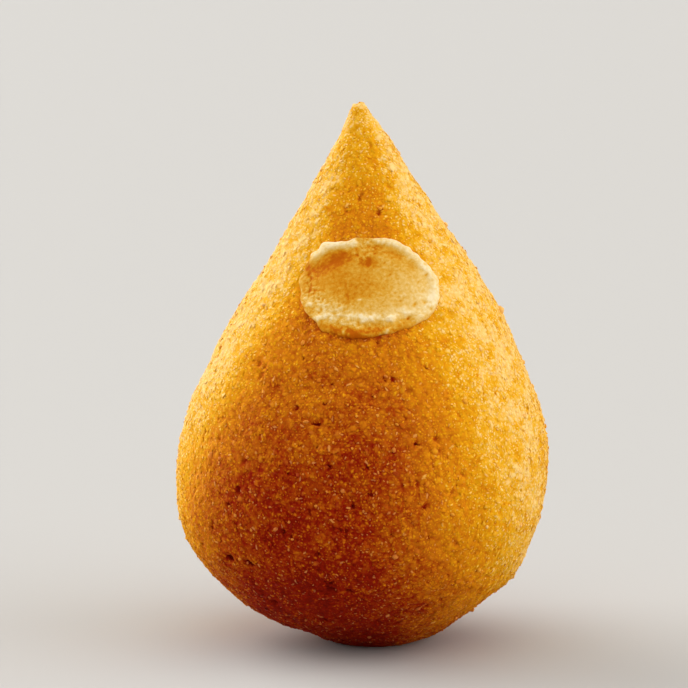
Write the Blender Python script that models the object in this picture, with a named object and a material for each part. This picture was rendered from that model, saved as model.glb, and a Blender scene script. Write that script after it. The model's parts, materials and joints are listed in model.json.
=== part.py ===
"""A coxinha: a fried, teardrop-shaped croquette in a fine breadcrumb crust, with a thin disc of
brie pressed on its front.

Metres, +Z up. The origin is on the surface that the croquette stands on, under its middle.
The disc of cheese faces -Y.
"""

import bisect
import math
import random

import bmesh
import bpy
from mathutils import Matrix, Vector, noise
from mathutils.bvhtree import BVHTree

MM = 0.001

# Croquette: a bowl from the flat foot to the belly, then a drawn-up cone that ends in a round tip.
# Each pull is how far a curve keeps the direction of its end before it bends away.
HEIGHT = 85.0 * MM
BELLY_RADIUS = 29.2 * MM
BELLY_HEIGHT = 24.7 * MM
FOOT_RADIUS = 7.0 * MM
FOOT_SLOPE = math.radians(20.0)
FOOT_PULL = 11.0 * MM
BOWL_PULL = 13.0 * MM
BELLY_PULL = 21.0 * MM
CONE_PULL = 30.0 * MM
TIP_HALF_ANGLE = math.radians(28.0)
TIP_RADIUS = 1.4 * MM
CURVE_STEPS = 100
TIP_STEPS = 12

# How far the middle of the croquette strays sideways at each height, as a share of HEIGHT
SWAY_X = (
    (0.0, 1.8 * MM),
    (0.09, 0.3 * MM),
    (0.2, -0.5 * MM),
    (0.42, 0.3 * MM),
    (0.75, 0.9 * MM),
    (0.93, 0.3 * MM),
    (1.0, -0.6 * MM),
)
SWAY_Y = ((0.0, 0.5 * MM), (0.3, 0.0), (0.65, -0.5 * MM), (1.0, 0.3 * MM))

# Surface: broad hand-shaped lumps, and the pebbled breadcrumb coat
LUMP_SIZE = 13.0 * MM
LUMP_HEIGHT = 0.55 * MM
PEBBLE_SIZE = 1.1 * MM
PEBBLE_HEIGHT = 0.55 * MM
CRUST_CUTS = 25
FOOT_FADE = 3.0 * MM
TIP_FADE = 6.0 * MM

# Coarse crumbs that stand out of the coat. Each is dropped on it, then sunk by a share of its width.
# Breadths, heights and corners are shares of the width too.
CRUMB_COUNT = 80
CRUMB_WIDTHS = (0.9 * MM, 1.5 * MM)
CRUMB_BREADTHS = (0.65, 0.9)
CRUMB_HEIGHTS = (0.6, 0.8)
CRUMB_CORNERS = (0.8, 1.15)
CRUMB_SUNK = 0.05
CRUMB_DROP = 3.0 * MM
CRUMB_LOWEST = 2.6 * MM
CRUMB_HIGHEST = 80.0 * MM
CRUMB_STRAY = 0.3
CRUMB_TURN_STRAY = math.radians(7)
CRUMB_SHAPES = 6
CRUMB_SEED = 11
AREA_STEPS = 400

# Disc of cheese, measured along the crust from its middle
DISC_HEIGHT = 57.6 * MM
DISC_AZIMUTH = math.radians(0.1)
DISC_HALF_WIDTH = 10.9 * MM
DISC_HALF_HEIGHT = 8.2 * MM
DISC_GAP = 0.34 * MM
DISC_MIDDLE_THICKNESS = 0.62 * MM
DISC_RIM_THICKNESS = 1.15 * MM
DISC_RIM_SHARE = 0.86
DISC_RIM_SPREAD = 0.13
DISC_WAVE_SIZE = 4.2 * MM
DISC_WAVE_HEIGHT = 0.16 * MM
DISC_EDGE_LEVEL = 0.42
DISC_SEGMENTS = 48
DISC_RINGS = 14
# Shares of the way from the disc's middle to its edge: crumbs keep beyond the first, and the
# pebbles of the coat rise between the other two
DISC_CRUMB_FREE = 1.3
DISC_BED_EDGE = 1.2
DISC_BED_FADE = 1.6
# Swellings of the outline: waves round the edge, share of the radius, direction of the first crest
DISC_SWELLS = (
    (1, 0.030, math.radians(-167)),
    (3, 0.035, math.radians(-26)),
    (4, 0.032, math.radians(-19)),
)

CRUST_COLOUR = (0.72, 0.36, 0.075, 1.0)
CHEESE_COLOUR = (0.86, 0.66, 0.32, 1.0)


def clear_scene():
    for old in list(bpy.data.objects):
        bpy.data.objects.remove(old, do_unlink=True)


def smooth_step(low, high, value):
    """0 below low, 1 above high and an even slope between."""
    share = min(1.0, max(0.0, (value - low) / (high - low)))
    return share * share * (3.0 - 2.0 * share)


def bent_curve(start, start_handle, end_handle, end):
    """A cubic curve between two points, without its last point."""
    points = []
    for i in range(CURVE_STEPS):
        t = i / CURVE_STEPS
        s = 1.0 - t
        points.append(start * s**3 + start_handle * 3 * s * s * t + end_handle * 3 * s * t * t + end * t**3)
    return points


def profile_points():
    """Half of the upright section as (radius, height), from the middle of the foot to the tip."""
    foot = Vector((FOOT_RADIUS, 0.0))
    foot_way = Vector((math.cos(FOOT_SLOPE), math.sin(FOOT_SLOPE)))
    belly = Vector((BELLY_RADIUS, BELLY_HEIGHT))
    upright = Vector((0.0, 1.0))
    cap_middle = Vector((0.0, HEIGHT - TIP_RADIUS))
    cap_start = cap_middle + TIP_RADIUS * Vector((math.cos(TIP_HALF_ANGLE), math.sin(TIP_HALF_ANGLE)))
    cone_way = Vector((-math.sin(TIP_HALF_ANGLE), math.cos(TIP_HALF_ANGLE)))

    points = [Vector((0.0, 0.0))]
    points += bent_curve(foot, foot + foot_way * FOOT_PULL, belly - upright * BOWL_PULL, belly)
    points += bent_curve(belly, belly + upright * BELLY_PULL, cap_start - cone_way * CONE_PULL, cap_start)
    for i in range(TIP_STEPS + 1):
        angle = TIP_HALF_ANGLE + (math.pi / 2 - TIP_HALF_ANGLE) * i / TIP_STEPS
        points.append(cap_middle + TIP_RADIUS * Vector((math.cos(angle), math.sin(angle))))
    return points


PROFILE = profile_points()
ARCS = [0.0]
for before, after in zip(PROFILE, PROFILE[1:]):
    ARCS.append(ARCS[-1] + (after - before).length)


def section_at(arc):
    """Radius, height and outward normal (radial, upward) at a length along the profile."""
    arc = min(max(arc, 0.0), ARCS[-1])
    i = min(bisect.bisect_right(ARCS, arc), len(ARCS) - 1)
    step = PROFILE[i] - PROFILE[i - 1]
    point = PROFILE[i - 1] + step * ((arc - ARCS[i - 1]) / (ARCS[i] - ARCS[i - 1]))
    normal = Vector((step.y, -step.x)).normalized()
    return point.x, point.y, normal


def arc_at_height(height):
    """Length along the profile at which it reaches a height."""
    heights = [point.y for point in PROFILE]
    i = bisect.bisect_left(heights, height)
    share = (height - heights[i - 1]) / (heights[i] - heights[i - 1])
    return ARCS[i - 1] + share * (ARCS[i] - ARCS[i - 1])


def sway_at(stations, height):
    """Sideways stray at a height, eased between the stations."""
    level = min(max(height / HEIGHT, 0.0), 1.0)
    for (low, before), (high, after) in zip(stations, stations[1:]):
        if level <= high:
            return before + (after - before) * smooth_step(low, high, level)
    return stations[-1][1]


def smooth_surface(azimuth, arc, lift=0.0):
    """Point over the hand-shaped croquette without its crumbs, lifted off it along the normal.
    Azimuth 0 is the front, -Y, and grows towards +X."""
    radius, height, normal = section_at(arc)
    out = Vector((math.sin(azimuth), -math.cos(azimuth), 0.0))
    sway = Vector((sway_at(SWAY_X, height), sway_at(SWAY_Y, height), 0.0))
    way = out * normal.x + Vector((0.0, 0.0, normal.y))
    point = out * radius + Vector((0.0, 0.0, height)) + sway
    ends = smooth_step(0.0, FOOT_FADE, height) * smooth_step(0.0, TIP_FADE, HEIGHT - height)
    lump = noise.noise(point / LUMP_SIZE) * LUMP_HEIGHT * ends
    return point + way * (lump + lift), way


def disc_outline(angle):
    """Distance from the disc's middle to its edge, in a direction round it."""
    across = math.cos(angle) / DISC_HALF_WIDTH
    along = math.sin(angle) / DISC_HALF_HEIGHT
    swell = sum(share * math.cos(waves * (angle - crest)) for waves, share, crest in DISC_SWELLS)
    return (1.0 + swell) / math.hypot(across, along)


DISC_ARC = arc_at_height(DISC_HEIGHT)


def disc_share(azimuth, arc):
    """0 at the disc's middle, 1 on its edge and more beyond it."""
    turn = (azimuth - DISC_AZIMUTH + math.pi) % (2.0 * math.pi) - math.pi
    across = turn * section_at(arc)[0]
    along = arc - DISC_ARC
    return math.hypot(across, along) / disc_outline(math.atan2(along, across))


def coat_surface(azimuth, arc):
    """Point on the pebbled coat. It is smooth on the foot and under the cheese."""
    point, way = smooth_surface(azimuth, arc)
    clear = smooth_step(0.0, FOOT_FADE, point.z) * smooth_step(0.0, TIP_FADE, HEIGHT - point.z)
    clear *= smooth_step(DISC_BED_EDGE, DISC_BED_FADE, disc_share(azimuth, arc))
    pebble = noise.noise(point / PEBBLE_SIZE) * PEBBLE_HEIGHT * clear
    return point + way * pebble


def place(name, mesh, material):
    mesh.materials.append(material)
    piece = bpy.data.objects.new(name, mesh)
    bpy.context.scene.collection.objects.link(piece)
    return piece


def food_material(name, colour, roughness):
    material = bpy.data.materials.new(name)
    material.use_nodes = True
    shader = material.node_tree.nodes["Principled BSDF"]
    shader.inputs["Base Color"].default_value = colour
    shader.inputs["Roughness"].default_value = roughness
    shader.inputs["Metallic"].default_value = 0.0
    return material


def coat_mesh():
    """The croquette as an even grid of quads: a subdivided cube drawn out over the teardrop."""
    bm = bmesh.new()
    bmesh.ops.create_cube(bm, size=2.0)
    bmesh.ops.subdivide_edges(bm, edges=bm.edges[:], cuts=CRUST_CUTS, use_grid_fill=True)
    for vert in bm.verts:
        even = Vector([math.tan(side * math.pi / 4) for side in vert.co]).normalized()
        azimuth = math.atan2(even.x, -even.y)
        arc = math.acos(max(-1.0, min(1.0, -even.z))) / math.pi * ARCS[-1]
        vert.co = coat_surface(azimuth, arc)
    bmesh.ops.triangulate(bm, faces=bm.faces[:])
    bmesh.ops.recalc_face_normals(bm, faces=bm.faces[:])
    mesh = bpy.data.meshes.new("croquette")
    bm.to_mesh(mesh)
    bm.free()
    return mesh


def crumb_meshes(draw):
    """A few angular crumbs of unit width, which the coat repeats at other sizes and turns."""
    meshes = []
    for i in range(CRUMB_SHAPES):
        bm = bmesh.new()
        bmesh.ops.create_icosphere(bm, subdivisions=1, radius=0.5)
        for vert in bm.verts:
            vert.co *= draw.uniform(*CRUMB_CORNERS)
        sides = (1.0, draw.uniform(*CRUMB_BREADTHS), draw.uniform(*CRUMB_HEIGHTS))
        bmesh.ops.scale(bm, vec=sides, verts=bm.verts)
        mesh = bpy.data.meshes.new(f"crumb_{i}")
        bm.to_mesh(mesh)
        bm.free()
        meshes.append(mesh)
    return meshes


def scatter_crumbs(coat, collection):
    """Coarse crumbs spread evenly by area, half sunk in the coat, clear of the foot and the cheese."""
    draw = random.Random(CRUMB_SEED)
    meshes = crumb_meshes(draw)
    faces = [tuple(face.vertices) for face in coat.polygons]
    facets = BVHTree.FromPolygons([vert.co for vert in coat.vertices], faces)
    lowest = arc_at_height(CRUMB_LOWEST)
    highest = arc_at_height(CRUMB_HIGHEST)
    arcs = [lowest + (highest - lowest) * i / AREA_STEPS for i in range(AREA_STEPS + 1)]
    areas = [0.0]
    for arc in arcs[1:]:
        areas.append(areas[-1] + section_at(arc)[0])
    golden_turn = math.pi * (3.0 - math.sqrt(5.0))
    for i in range(CRUMB_COUNT):
        area = areas[-1] * (i + 0.5 + draw.uniform(-CRUMB_STRAY, CRUMB_STRAY)) / CRUMB_COUNT
        arc = arcs[bisect.bisect_left(areas, area)]
        azimuth = i * golden_turn + draw.uniform(-CRUMB_TURN_STRAY, CRUMB_TURN_STRAY)
        width = draw.uniform(*CRUMB_WIDTHS)
        turn = Matrix.Rotation(draw.uniform(0.0, 2.0 * math.pi), 4, "Z")
        if disc_share(azimuth, arc) < DISC_CRUMB_FREE:
            continue
        start, way = smooth_surface(azimuth, arc, CRUMB_DROP)
        landed = facets.ray_cast(start, -way)[0]
        crumb = bpy.data.objects.new("crumb", meshes[i % CRUMB_SHAPES])
        stand = way.to_track_quat("Z", "Y").to_matrix().to_4x4()
        spot = landed - way * width * CRUMB_SUNK
        crumb.matrix_world = Matrix.Translation(spot) @ stand @ turn @ Matrix.Scale(width, 4)
        collection.objects.link(crumb)


def build_crust():
    """The browned croquette with its coarse crumbs fused on, as one solid."""
    crust = place("crust", coat_mesh(), food_material("breadcrumb_crust", CRUST_COLOUR, 0.6))
    crumbs = bpy.data.collections.new("crumbs")
    bpy.context.scene.collection.children.link(crumbs)
    scatter_crumbs(crust.data, crumbs)
    join = crust.modifiers.new("crumbs", "BOOLEAN")
    join.operation = "UNION"
    join.operand_type = "COLLECTION"
    join.collection = crumbs
    join.solver = "EXACT"
    bpy.context.view_layer.update()
    depsgraph = bpy.context.evaluated_depsgraph_get()
    fused = bpy.data.meshes.new_from_object(crust.evaluated_get(depsgraph))
    crust.modifiers.remove(join)
    crust.data = fused
    for crumb in list(crumbs.objects):
        bpy.data.objects.remove(crumb, do_unlink=True)
    bpy.data.collections.remove(crumbs)
    return crust


def disc_top(share, point):
    """Thickness of the cheese at a share of the way out: dished in the middle, with a rolled rim."""
    rim = math.exp(-(((share - DISC_RIM_SHARE) / DISC_RIM_SPREAD) ** 2))
    wave = noise.noise(point / DISC_WAVE_SIZE) * DISC_WAVE_HEIGHT
    return DISC_MIDDLE_THICKNESS + (DISC_RIM_THICKNESS - DISC_MIDDLE_THICKNESS) * rim + wave


def build_disc():
    """The cheese: a flattened globe laid along the crust, which gives it a round edge."""
    bm = bmesh.new()
    bmesh.ops.create_uvsphere(bm, u_segments=DISC_SEGMENTS, v_segments=DISC_RINGS, radius=1.0)
    for vert in bm.verts:
        share = min(1.0, math.hypot(vert.co.x, vert.co.y))
        angle = math.atan2(vert.co.y, vert.co.x)
        reach = share * disc_outline(angle)
        arc = DISC_ARC + reach * math.sin(angle)
        azimuth = DISC_AZIMUTH + reach * math.cos(angle) / section_at(arc)[0]
        foot = smooth_surface(azimuth, arc)[0]
        edge_level = DISC_RIM_THICKNESS * DISC_EDGE_LEVEL
        face_level = disc_top(share, foot) if vert.co.z > 0.0 else 0.0
        lift = DISC_GAP + edge_level + (face_level - edge_level) * math.sqrt(abs(vert.co.z))
        vert.co = smooth_surface(azimuth, arc, lift)[0]
    bmesh.ops.triangulate(bm, faces=bm.faces[:])
    bmesh.ops.recalc_face_normals(bm, faces=bm.faces[:])
    mesh = bpy.data.meshes.new("cheese_disc")
    bm.to_mesh(mesh)
    bm.free()
    mesh.shade_smooth()
    return place("cheese_disc", mesh, food_material("brie", CHEESE_COLOUR, 0.45))


def main():
    clear_scene()
    build_crust()
    build_disc()


main()
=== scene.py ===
import bisect
import json
import math
import random

import bmesh
import bpy
from mathutils import Matrix, Quaternion, Vector, kdtree, noise

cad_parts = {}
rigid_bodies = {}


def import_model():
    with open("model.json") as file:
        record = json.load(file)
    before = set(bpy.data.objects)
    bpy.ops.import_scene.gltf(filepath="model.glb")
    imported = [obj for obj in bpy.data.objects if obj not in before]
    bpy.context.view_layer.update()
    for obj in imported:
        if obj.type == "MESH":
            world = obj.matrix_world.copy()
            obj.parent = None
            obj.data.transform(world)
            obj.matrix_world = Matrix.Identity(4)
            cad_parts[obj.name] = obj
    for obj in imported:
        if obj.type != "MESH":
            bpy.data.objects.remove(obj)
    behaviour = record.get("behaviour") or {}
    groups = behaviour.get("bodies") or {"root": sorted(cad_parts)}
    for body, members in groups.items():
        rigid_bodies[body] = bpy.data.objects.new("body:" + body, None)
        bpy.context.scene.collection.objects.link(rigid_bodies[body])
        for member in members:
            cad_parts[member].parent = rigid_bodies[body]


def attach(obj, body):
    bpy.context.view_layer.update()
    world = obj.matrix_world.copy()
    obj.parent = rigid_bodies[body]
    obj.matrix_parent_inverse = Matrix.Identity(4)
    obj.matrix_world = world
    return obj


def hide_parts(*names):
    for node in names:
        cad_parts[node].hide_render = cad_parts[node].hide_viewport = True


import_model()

# A coxinha: a teardrop croquette in fine fried breadcrumbs, with a thin disc of soft cheese on its front.
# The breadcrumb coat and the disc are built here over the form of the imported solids.

mm = 0.001
noiseSeed = 5           # so that the noise of the meshes is the same in every run
noise.seed_set(noiseSeed)
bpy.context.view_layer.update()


# Small tools

# sRGB's own formula
def toLinear(hexColour):
    channels = []
    for start in (1, 3, 5):
        value = int(hexColour[start:start + 2], 16) / 255
        channels.append(value / 12.92 if value <= 0.04045 else ((value + 0.055) / 1.055) ** 2.4)
    return (*channels, 1.0)


def easeBetween(low, high, value):
    share = min(1.0, max(0.0, (value - low) / (high - low)))
    return share * share * (3.0 - 2.0 * share)


# Adds a node with its settings. An input is linked to a socket or set to a value.
def addNode(tree, kind, inputs=None, **settings):
    node = tree.nodes.new(kind)
    for name, value in settings.items():
        setattr(node, name, value)
    for socket, value in (inputs or {}).items():
        if isinstance(value, bpy.types.NodeSocket):
            tree.links.new(value, node.inputs[socket])
        else:
            node.inputs[socket].default_value = value
    return node


# The colours of a ramp that runs to the last stage, which may lie beyond 1
def setStages(ramp, stages):
    last = stages[-1][0]
    for element, (share, hexColour) in zip((ramp[0], ramp[1]), (stages[0], stages[-1])):
        element.position = share / last
        element.color = toLinear(hexColour)
    for share, hexColour in stages[1:-1]:
        ramp.new(share / last).color = toLinear(hexColour)


def makeMaterial(name, values):
    material = bpy.data.materials.new(name)
    material.use_nodes = True
    shader = material.node_tree.nodes["Principled BSDF"]
    for socket, value in values.items():
        shader.inputs[socket].default_value = value
    return material, material.node_tree, shader.inputs


# Adds each pattern to a level, which keeps its mean but for the shift. A pattern has a size, a detail,
# a roughness and a strength.
def mottle(tree, level, patterns, shift=0.0):
    place = addNode(tree, "ShaderNodeTexCoord").outputs["Object"]
    for size, detail, roughness, strength in patterns:
        texture = addNode(tree, "ShaderNodeTexNoise", {
            "Vector": place, "Scale": 1.0 / size, "Detail": detail, "Roughness": roughness}).outputs["Fac"]
        level = addNode(tree, "ShaderNodeMath", {
            0: texture, 1: strength, 2: level}, operation="MULTIPLY_ADD").outputs[0]
        shift -= 0.5 * strength
    return addNode(tree, "ShaderNodeMath", {0: level, 1: shift}).outputs[0]


# Bumps as a noise gives them, of a size, a detail, a roughness and a height
def roughen(tree, inputs, size, detail, roughness, height):
    place = addNode(tree, "ShaderNodeTexCoord").outputs["Object"]
    texture = addNode(tree, "ShaderNodeTexNoise", {
        "Vector": place, "Scale": 1.0 / size, "Detail": detail, "Roughness": roughness}).outputs["Fac"]
    bump = addNode(tree, "ShaderNodeBump", {"Height": texture, "Distance": height})
    tree.links.new(bump.outputs["Normal"], inputs["Normal"])


def makeMesh(name, bm):
    mesh = bpy.data.meshes.new(name)
    bm.to_mesh(mesh)
    bm.free()
    return mesh


def addValues(mesh, layers):
    for name, values in layers.items():
        mesh.attributes.new(name, "FLOAT", "POINT").data.foreach_set("value", values)


def addPiece(name, mesh, material=None):
    piece = bpy.data.objects.new(name, mesh)
    bpy.context.scene.collection.objects.link(piece)
    if material:
        mesh.materials.append(material)
    return piece


# The form of the croquette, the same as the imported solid's:
# a bowl from the flat foot to the belly, then a drawn-up cone that ends in a round tip

croquette = {
    "height": 85.0 * mm,
    "bellyRadius": 29.2 * mm,
    "bellyHeight": 24.7 * mm,
    "footRadius": 7.0 * mm,
    "footSlope": math.radians(20),
    "footPull": 11.0 * mm,      # how far each end of a curve keeps its direction
    "bowlPull": 13.0 * mm,
    "bellyPull": 21.0 * mm,
    "conePull": 30.0 * mm,
    "tipHalfAngle": math.radians(28),
    "tipRadius": 1.4 * mm,
    "curveSteps": 100,
    "tipSteps": 12,
    # how far the middle strays sideways at each share of the height
    "swayX": ((0.0, 1.8 * mm), (0.09, 0.3 * mm), (0.2, -0.5 * mm), (0.42, 0.3 * mm),
              (0.75, 0.9 * mm), (0.93, 0.3 * mm), (1.0, -0.6 * mm)),
    "swayY": ((0.0, 0.5 * mm), (0.3, 0.0), (0.65, -0.5 * mm), (1.0, 0.3 * mm)),
    "lumpSize": 13.0 * mm,      # broad lumps left by the hands that shaped it
    "lumpHeight": 0.55 * mm,
    "footFade": 3.0 * mm,       # the lumps die out this near to the foot and the tip
    "tipFade": 6.0 * mm,
}


def bentCurve(start, startHandle, endHandle, end):
    points = []
    for i in range(croquette["curveSteps"]):
        t = i / croquette["curveSteps"]
        s = 1.0 - t
        points.append(start * s**3 + startHandle * 3 * s * s * t + endHandle * 3 * s * t * t + end * t**3)
    return points


def profilePoints():
    c = croquette
    foot = Vector((c["footRadius"], 0.0))
    footWay = Vector((math.cos(c["footSlope"]), math.sin(c["footSlope"])))
    belly = Vector((c["bellyRadius"], c["bellyHeight"]))
    upright = Vector((0.0, 1.0))
    capMiddle = Vector((0.0, c["height"] - c["tipRadius"]))
    half = c["tipHalfAngle"]
    capStart = capMiddle + c["tipRadius"] * Vector((math.cos(half), math.sin(half)))
    coneWay = Vector((-math.sin(half), math.cos(half)))
    points = [Vector((0.0, 0.0))]
    points += bentCurve(foot, foot + footWay * c["footPull"], belly - upright * c["bowlPull"], belly)
    points += bentCurve(belly, belly + upright * c["bellyPull"], capStart - coneWay * c["conePull"], capStart)
    for i in range(c["tipSteps"] + 1):
        angle = half + (math.pi / 2 - half) * i / c["tipSteps"]
        points.append(capMiddle + c["tipRadius"] * Vector((math.cos(angle), math.sin(angle))))
    return points


profile = profilePoints()
arcs = [0.0]
for before, after in zip(profile, profile[1:]):
    arcs.append(arcs[-1] + (after - before).length)
heights = [point.y for point in profile]


def sectionAt(arc):
    arc = min(max(arc, 0.0), arcs[-1])
    i = min(bisect.bisect_right(arcs, arc), len(arcs) - 1)
    step = profile[i] - profile[i - 1]
    point = profile[i - 1] + step * ((arc - arcs[i - 1]) / (arcs[i] - arcs[i - 1]))
    return point.x, point.y, Vector((step.y, -step.x)).normalized()


def arcAtHeight(height):
    i = bisect.bisect_left(heights, height)
    share = (height - heights[i - 1]) / (heights[i] - heights[i - 1])
    return arcs[i - 1] + share * (arcs[i] - arcs[i - 1])


def swayAt(stations, height):
    level = min(max(height / croquette["height"], 0.0), 1.0)
    for (low, before), (high, after) in zip(stations, stations[1:]):
        if level <= high:
            return before + (after - before) * easeBetween(low, high, level)
    return stations[-1][1]


# Azimuth 0 is the front, -Y, and grows towards +X
def surfaceAt(azimuth, arc, lift=0.0):
    c = croquette
    radius, height, normal = sectionAt(arc)
    out = Vector((math.sin(azimuth), -math.cos(azimuth), 0.0))
    way = out * normal.x + Vector((0.0, 0.0, normal.y))
    sway = Vector((swayAt(c["swayX"], height), swayAt(c["swayY"], height), 0.0))
    point = out * radius + Vector((0.0, 0.0, height)) + sway
    ends = easeBetween(0.0, c["footFade"], height) * easeBetween(0.0, c["tipFade"], c["height"] - height)
    lump = noise.noise(point / c["lumpSize"]) * c["lumpHeight"] * ends
    return point + way * (lump + lift), way


# Where the disc of cheese lies, measured along the crust from its middle

disc = {
    "height": 57.95 * mm,
    "azimuth": math.radians(0.7),
    "halfWidth": 11.3 * mm,
    "halfHeight": 8.2 * mm,
    # swellings of the outline: waves round the edge, share of the radius, direction of the first crest
    "swells": ((1, 0.030, math.radians(-167)), (3, 0.035, math.radians(-26)), (4, 0.032, math.radians(-19))),
    # and what the edge bulges here: direction, share of the radius, how far to each side
    "bulges": ((math.radians(134), 0.09, math.radians(25)), (math.radians(-45), -0.03, math.radians(16))),
}
discArc = arcAtHeight(disc["height"])


def discReach(angle):
    across = math.cos(angle) / disc["halfWidth"]
    along = math.sin(angle) / disc["halfHeight"]
    swell = sum(share * math.cos(waves * (angle - crest)) for waves, share, crest in disc["swells"])
    swell += sum(share * math.exp(-((angle - crest) / wide) ** 2) for crest, share, wide in disc["bulges"])
    return (1.0 + swell) / math.hypot(across, along)


def discShare(azimuth, arc):
    turn = (azimuth - disc["azimuth"] + math.pi) % (2.0 * math.pi) - math.pi
    across = turn * sectionAt(arc)[0]
    along = arc - discArc
    return math.hypot(across, along) / discReach(math.atan2(along, across))


# Materials

# Fried breadcrumb: bread crushed to grit and browned in oil, so dry and matt with a faint oily film.
# Frying turns it from straw through gold and amber to red-brown. The coat is browner where it fried longest
# and where shade is painted into it, its paste of fine crumbs is mottled, and each crumb is paler on its top,
# partly as a painted highlight and partly by its own tone, and melts into the paste about its foot.
fried = {
    # how far it is fried, with painted shade counted in, 1 where the coat is brownest and more in its darkest
    # specks, and its colour there
    "stages": ((0.0, "#F8D080"), (0.12, "#F5C46E"), (0.24, "#EFB233"), (0.36, "#E8A20E"), (0.575, "#DA830C"),
               (0.745, "#C2660C"), (0.87, "#AB4306"), (1.0, "#911A04"), (1.25, "#620A02")),
    "paste": 0.105,             # how much darker the paste is than the coat's mean, partly as more frying and partly as painted shade between the crumbs
    "patterns": ((5.0 * mm, 3.0, 0.6, 0.4), (0.8 * mm, 2.0, 0.6, 0.4)),     # blotches and speckles
    "grain": (0.5 * mm, 2.0, 0.6, 0.06 * mm),       # bumps of the paste; a crumb is smooth
    "roughness": 0.6,
    "specular": 0.02,
    "alike": 0.45,              # how much less the crumbs differ where the coat is brownest
    "glossyRoughness": 0.3,
    "glossySpecular": 0.5,
    "glow": 0.3,                # share of the light that goes into the paste and comes out near by
    "glowReach": 0.5 * mm,
    "glowColours": (1.0, 0.45, 0.12),
    "drySheenColour": "#EBA25A",     # of crumbs that the oil hardly wetted, and in part a painted sheen on the crumbs it is mixed into
}


# A crumb gives its offset and spread: how much more its top is fried than the paste, below 0 for a top that
# is paler partly as a painted highlight, and how much its kind differs in that. The paste gives neither.
def friedBreadcrumb(name, offset=0.0, spread=0.0, gloss=0.0, glow=0.0, drySheen=0.0):
    f = fried
    rough, specular = f["roughness"], f["specular"]
    material, tree, inputs = makeMaterial(name, {
        "Roughness": rough + gloss * (f["glossyRoughness"] - rough),
        "Specular IOR Level": specular + gloss * (f["glossySpecular"] - specular),
        "Subsurface Weight": glow, "Subsurface Radius": f["glowColours"], "Subsurface Scale": f["glowReach"]})
    # how far it is fried, with painted shade in it
    toastAndShade = addNode(tree, "ShaderNodeAttribute", attribute_name="toastAndShade").outputs["Fac"]
    level = mottle(tree, toastAndShade, f["patterns"], f["paste"])
    if offset or spread:
        tone = addNode(tree, "ShaderNodeAttribute", attribute_name="tone").outputs["Fac"]
        rise = addNode(tree, "ShaderNodeAttribute", attribute_name="rise").outputs["Fac"]
        own = addNode(tree, "ShaderNodeMath", {
            0: tone, 1: spread, 2: offset - 0.5 * spread}, operation="MULTIPLY_ADD").outputs[0]
        differing = addNode(tree, "ShaderNodeMath", {
            0: toastAndShade, 1: -f["alike"], 2: 1.0}, operation="MULTIPLY_ADD").outputs[0]
        risen = addNode(tree, "ShaderNodeMath", {0: rise, 1: differing}, operation="MULTIPLY").outputs[0]
        level = addNode(tree, "ShaderNodeMath", {
            0: risen, 1: own, 2: level}, operation="MULTIPLY_ADD").outputs[0]
    else:
        roughen(tree, inputs, *f["grain"])
    share = addNode(tree, "ShaderNodeMath", {0: level, 1: f["stages"][-1][0]}, operation="DIVIDE").outputs[0]
    colour = addNode(tree, "ShaderNodeValToRGB", {"Fac": share})
    setStages(colour.color_ramp.elements, f["stages"])
    # mixes in the pale dry colour, which is also a painted sheen
    if drySheen:
        colour = addNode(tree, "ShaderNodeMixRGB", {
            "Fac": drySheen, "Color1": colour.outputs["Color"], "Color2": toLinear(f["drySheenColour"])})
    tree.links.new(colour.outputs["Color"], inputs["Base Color"])
    return material


# How brown the coat is, 0 to 1, partly from frying and partly painted shade: most on the lower front left and
# down the middle of the front, where less light falls between the side lamps

browningAndShade = {
    # one line for each height, from the foot up: how brown the middle of the front is, where that middle
    # is, how far it spreads to its left and to its right, in degrees, and how suddenly it ends on its left
    "front": (
        (0.0 * mm, 0.97, -22, 100, 97, 2.5),
        (9.0 * mm, 0.95, -22, 78, 80, 2.5),
        (18.0 * mm, 0.89, -16, 59, 58, 2.5),
        (30.0 * mm, 0.83, -6, 60, 40, 4.0),
        (42.0 * mm, 0.65, -3, 51, 37, 5.0),
        (53.0 * mm, 0.52, -2, 46, 32, 6.0),
        (66.0 * mm, 0.51, 0, 36, 29, 5.0),
        (71.0 * mm, 0.38, 0, 38, 31, 4.0),
        (76.0 * mm, 0.25, -2, 41, 34, 4.0),
        (82.0 * mm, 0.15, -4, 44, 36, 4.0),
        (85.0 * mm, 0.12, -4, 44, 36, 4.0),
    ),
    "rightEdge": 2.5,           # how suddenly it ends on its right
    "backEdge": 2.0,            # and the back's brown on its left
    "backMiddle": 170,
    "backShare": 0.75,          # of the front's brown, on the side that shows only from behind
    "ring": 0.7,                # all round the foot
    "ringHeights": (2.0 * mm, 16.0 * mm),
    "palest": 0.065,
}


def toastAndShadeAt(point, azimuth):
    b = browningAndShade
    height = min(max(point.z, 0.0), b["front"][-1][0])
    for low, high in zip(b["front"], b["front"][1:]):
        if height <= high[0]:
            share = (height - low[0]) / (high[0] - low[0])
            strength, middle, left, right, leftEdge = (a + (z - a) * share for a, z in zip(low[1:], high[1:]))
            break
    toastAndShade = b["ring"] * (1.0 - easeBetween(*b["ringHeights"], height))
    for centre, part, edge in ((middle, 1.0, leftEdge), (b["backMiddle"], b["backShare"], b["backEdge"])):
        turn = (math.degrees(azimuth) - centre + 180.0) % 360.0 - 180.0
        reach, sudden = (right, b["rightEdge"]) if turn > 0.0 else (left, edge)
        toastAndShade = max(toastAndShade, part * strength * math.exp(-abs(turn / reach) ** sudden))
    return b["palest"] + (1.0 - b["palest"]) * toastAndShade


# The crust under its crumbs: the croquette with dents, pebbles, pits and the pinched tip

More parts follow.
